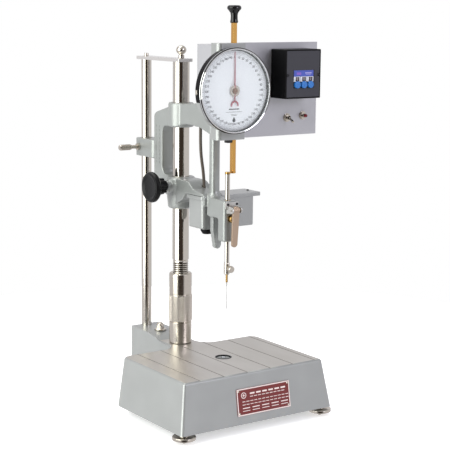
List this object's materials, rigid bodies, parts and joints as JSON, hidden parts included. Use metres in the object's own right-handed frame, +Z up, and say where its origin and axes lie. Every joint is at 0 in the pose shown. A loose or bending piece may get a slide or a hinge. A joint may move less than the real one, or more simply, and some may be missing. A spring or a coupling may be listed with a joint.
{
  "type": "needle penetrometer",
  "caption": "Bench penetrometer: base with levelling feet, column with sliding C-shaped head, rack-driven dial, falling stem with needle, timer panel.",
  "frame": {"origin": "on the table, under the middle of the object's box", "axes": "+Z up, the dial and the needle face -Y, +X to the operator's right"},
  "size_m": [0.31, 0.33, 0.605],
  "materials": {
    "base_paint": "grey hammered paint, machined top",
    "head_paint": "grey paint",
    "sheet_paint": "grey paint",
    "nickel": "nickel plated",
    "ground_steel": "ground and polished",
    "brass": "polished",
    "black_plastic": "moulded",
    "drum_black": "black enamel",
    "bezel_chrome": "chromed",
    "glass": "clear",
    "dial_white": "printed white",
    "hand_red": "pale red",
    "plate_maroon": "etched and filled",
    "timer_black": "moulded",
    "timer_grey": "moulded",
    "label_blue": "printed",
    "button_blue": "moulded",
    "button_red": "moulded",
    "lever_nickel": "satin nickel",
    "coil_copper": "wound coil",
    "cable_grey": "sheathed"
  },
  "bodies": {
    "base": {"base_casting": "base_paint", "level_housing": "nickel", "level_glass": "glass", "nameplate": "plate_maroon", "nameplate_rivets": "nickel"},
    "rod_clamp_bolt": {"rod_clamp_bolt": "nickel"},
    "foot_front_left": {"foot_front_left": "nickel"},
    "foot_front_right": {"foot_front_right": "nickel"},
    "foot_rear": {"foot_rear": "nickel"},
    "lift": {"column": "ground_steel", "guide_rod": "ground_steel", "tie_strap": "ground_steel", "rod_cap_screw": "nickel"},
    "top_ball_screw": {"top_ball_screw": "nickel"},
    "adjusting_nut": {"adjusting_nut": "ground_steel"},
    "head": {"head_casting": "head_paint", "gear_housing": "head_paint", "bearing_bushes": "brass", "chassis_panel": "sheet_paint", "chassis_cover": "sheet_paint", "small_screws": "nickel", "dial_drum": "drum_black", "dial_bezel": "bezel_chrome", "dial_glass": "glass", "dial_face": "dial_white", "bump_stop": "black_plastic", "timer_case": "timer_black", "timer_front": "timer_grey", "timer_display": "label_blue", "toggle_bushing": "nickel", "button_bushing": "nickel", "solenoid_box": "head_paint", "solenoid_lid": "head_paint", "solenoid": "coil_copper", "cable_gland": "black_plastic", "control_cable": "cable_grey", "stem_bushes": "brass", "lever_bracket": "ground_steel", "lever_pin": "nickel"},
    "clamp_knob": {"clamp_knob": "black_plastic"},
    "guide_screw": {"guide_screw": "nickel"},
    "rack": {"rack_bar": "brass", "rack_knob": "black_plastic"},
    "pinion": {"pinion": "brass", "main_hand": "hand_red"},
    "zero_hand": {"zero_hand": "hand_red"},
    "stem": {"stem": "ground_steel", "stem_cap": "brass", "chuck": "nickel", "ferrule": "brass", "needle": "ground_steel"},
    "chuck_screw": {"chuck_screw": "nickel"},
    "release_lever": {"release_lever": "lever_nickel"},
    "clutch_button": {"clutch_button": "brass"},
    "toggle_lever": {"toggle_lever": "nickel"},
    "push_button": {"push_button": "button_red"},
    "timer_button_left": {"timer_button_left": "button_blue"},
    "timer_button_middle": {"timer_button_middle": "button_blue"},
    "timer_button_right": {"timer_button_right": "button_blue"}
  },
  "joints": [
    {"name": "fine_lift", "type": "slide", "parent": "base", "child": "lift", "axis": [0, 0, 1], "range_m": [-0.008, 0.008]},
    {"name": "adjusting_nut_turn", "type": "hinge", "parent": "base", "child": "adjusting_nut", "pos_m": [-0.017, 0.05, 0.134], "axis": [0, 0, 1], "range_deg": [-910, 910]},
    {"name": "rod_clamp_turn", "type": "hinge", "parent": "base", "child": "rod_clamp_bolt", "pos_m": [-0.017, 0.109, 0.094], "axis": [0, 0, 1], "range_deg": [0, 180]},
    {"name": "foot_front_left_turn", "type": "hinge", "parent": "base", "child": "foot_front_left", "pos_m": [-0.138, -0.148, 0.008], "axis": [0, 0, 1], "range_deg": [-360, 360]},
    {"name": "foot_front_right_turn", "type": "hinge", "parent": "base", "child": "foot_front_right", "pos_m": [0.104, -0.148, 0.008], "axis": [0, 0, 1], "range_deg": [-360, 360]},
    {"name": "foot_rear_turn", "type": "hinge", "parent": "base", "child": "foot_rear", "pos_m": [-0.017, 0.124, 0.008], "axis": [0, 0, 1], "range_deg": [-360, 360]},
    {"name": "top_ball_turn", "type": "hinge", "parent": "lift", "child": "top_ball_screw", "pos_m": [-0.017, 0.05, 0.529], "axis": [0, 0, 1], "range_deg": [0, 360]},
    {"name": "head_slide", "type": "slide", "parent": "lift", "child": "head", "axis": [0, 0, 1], "range_m": [-0.025, 0.055]},
    {"name": "clamp_knob_turn", "type": "hinge", "parent": "head", "child": "clamp_knob", "pos_m": [-0.057, 0.05, 0.333], "axis": [-1, 0, 0], "range_deg": [0, 360]},
    {"name": "guide_screw_turn", "type": "hinge", "parent": "head", "child": "guide_screw", "pos_m": [-0.047, 0.1506, 0.383], "axis": [-1, 0, 0], "range_deg": [0, 360]},
    {"name": "rack_slide", "type": "slide", "parent": "head", "child": "rack", "axis": [0, 0, 1], "range_m": [-0.026, 0.014]},
    {"name": "main_hand_turn", "type": "hinge", "parent": "head", "child": "pinion", "pos_m": [-0.017, -0.075, 0.4843], "axis": [0, 1, 0], "range_deg": [-130, 238]},
    {"name": "zero_hand_turn", "type": "hinge", "parent": "head", "child": "zero_hand", "pos_m": [-0.017, -0.075, 0.4843], "axis": [0, 1, 0], "continuous": true},
    {"name": "stem_drop", "type": "slide", "parent": "head", "child": "stem", "axis": [0, 0, 1], "range_m": [-0.0375, 0]},
    {"name": "chuck_screw_turn", "type": "hinge", "parent": "stem", "child": "chuck_screw", "pos_m": [-0.017, -0.085, 0.224], "axis": [0, -1, 0], "range_deg": [0, 360]},
    {"name": "release_lever_swing", "type": "hinge", "parent": "head", "child": "release_lever", "pos_m": [-0.017, -0.097, 0.313], "axis": [1, 0, 0], "range_deg": [0, 6], "stiffness_Nm_per_rad": 0.3},
    {"name": "clutch_button_slide", "type": "slide", "parent": "head", "child": "clutch_button", "axis": [0, 1, 0], "range_m": [0, 0.0019]},
    {"name": "toggle_switch", "type": "hinge", "parent": "head", "child": "toggle_lever", "pos_m": [0.0995, -0.0672, 0.4394], "axis": [-1, 0, 0], "range_deg": [0, 56]},
    {"name": "push_button_press", "type": "slide", "parent": "head", "child": "push_button", "axis": [0, 1, 0], "range_m": [0, 0.0025], "stiffness_N_per_m": 600},
    {"name": "timer_button_left_press", "type": "slide", "parent": "head", "child": "timer_button_left", "axis": [0, 1, 0], "range_m": [0, 0.002], "stiffness_N_per_m": 500},
    {"name": "timer_button_middle_press", "type": "slide", "parent": "head", "child": "timer_button_middle", "axis": [0, 1, 0], "range_m": [0, 0.002], "stiffness_N_per_m": 500},
    {"name": "timer_button_right_press", "type": "slide", "parent": "head", "child": "timer_button_right", "axis": [0, 1, 0], "range_m": [0, 0.002], "stiffness_N_per_m": 500}
  ],
  "couplings": [
    {"joint": "adjusting_nut_turn", "follows": "fine_lift", "rad_per_m": 1979},
    {"joint": "main_hand_turn", "follows": "rack_slide", "rad_per_m": -157.08},
    {"joint": "clutch_button_slide", "follows": "release_lever_swing", "m_per_rad": 0.0175}
  ]
}
